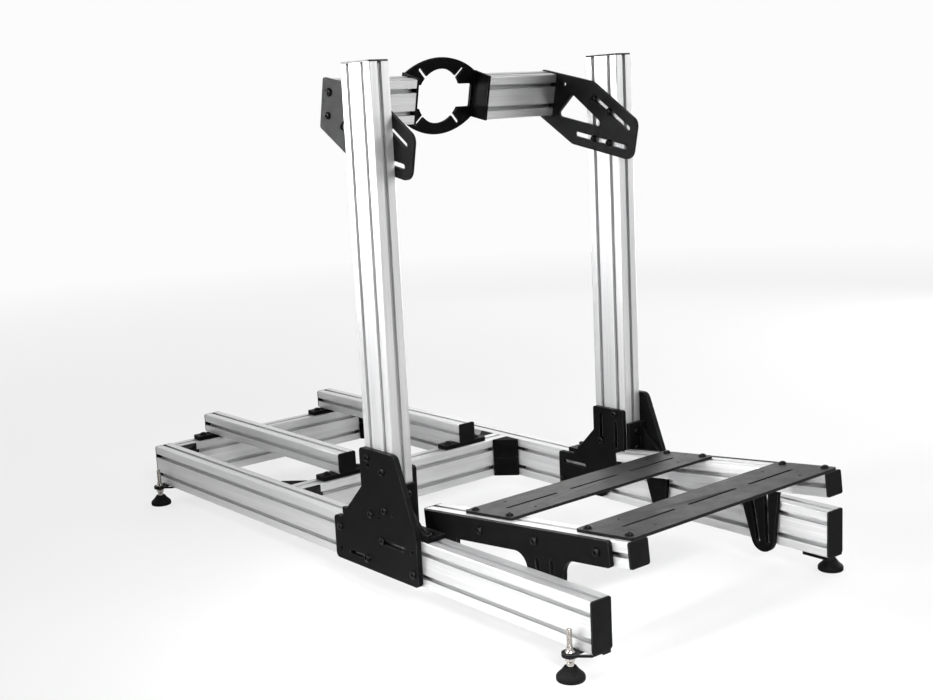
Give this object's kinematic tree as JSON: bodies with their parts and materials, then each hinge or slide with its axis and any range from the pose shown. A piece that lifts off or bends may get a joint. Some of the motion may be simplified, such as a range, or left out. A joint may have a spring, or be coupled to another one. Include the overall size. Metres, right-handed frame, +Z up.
{
  "type": "sim racing cockpit",
  "caption": "Open frame of slotted aluminium profiles with black plates: side rails, seat rails, uprights with a ring mount and a tilted pedal deck on levelling feet.",
  "frame": {"origin": "on the floor, under the centre of the overall box", "axes": "+X towards the pedals, +Y towards the driver's left, +Z up"},
  "size_m": [1.373, 0.67, 0.912],
  "materials": {
    "alu": "clear anodised, fine lengthwise grain",
    "coated_steel": "satin black powder coat",
    "cast_black": "satin black casting",
    "cap_plastic": "matt moulded black",
    "nickel": "nickel plated thread",
    "foot_rubber": "matt black rubber"
  },
  "bodies": {
    "root": {"rail_right": "alu", "rail_left": "alu", "rail_caps": "cap_plastic", "cross_rear": "alu", "cross_middle": "alu", "corner_gussets": "cast_black", "seat_rail_right": "alu", "seat_rail_left": "alu", "seat_rail_caps": "cap_plastic", "seat_spacers": "coated_steel", "upright_right": "alu", "upright_left": "alu", "upright_caps": "cap_plastic", "outer_plate_right": "coated_steel", "outer_plate_left": "coated_steel", "inner_plate_right": "coated_steel", "inner_plate_left": "coated_steel", "base_angles_right": "coated_steel", "base_angles_left": "coated_steel", "beam_stub_right": "alu", "beam_stub_left": "alu", "beam_bracket_right": "coated_steel", "beam_bracket_left": "coated_steel", "ring_mount": "coated_steel", "deck_rail_right": "alu", "deck_rail_left": "alu", "deck_rail_caps": "cap_plastic", "deck_side_plate_right": "coated_steel", "deck_side_plate_left": "coated_steel", "pedal_plate_rear": "coated_steel", "pedal_plate_front": "coated_steel", "foot_brackets": "coated_steel", "foot_studs": "nickel", "foot_nuts": "nickel", "foot_pads": "foot_rubber"}
  },
  "joints": []
}
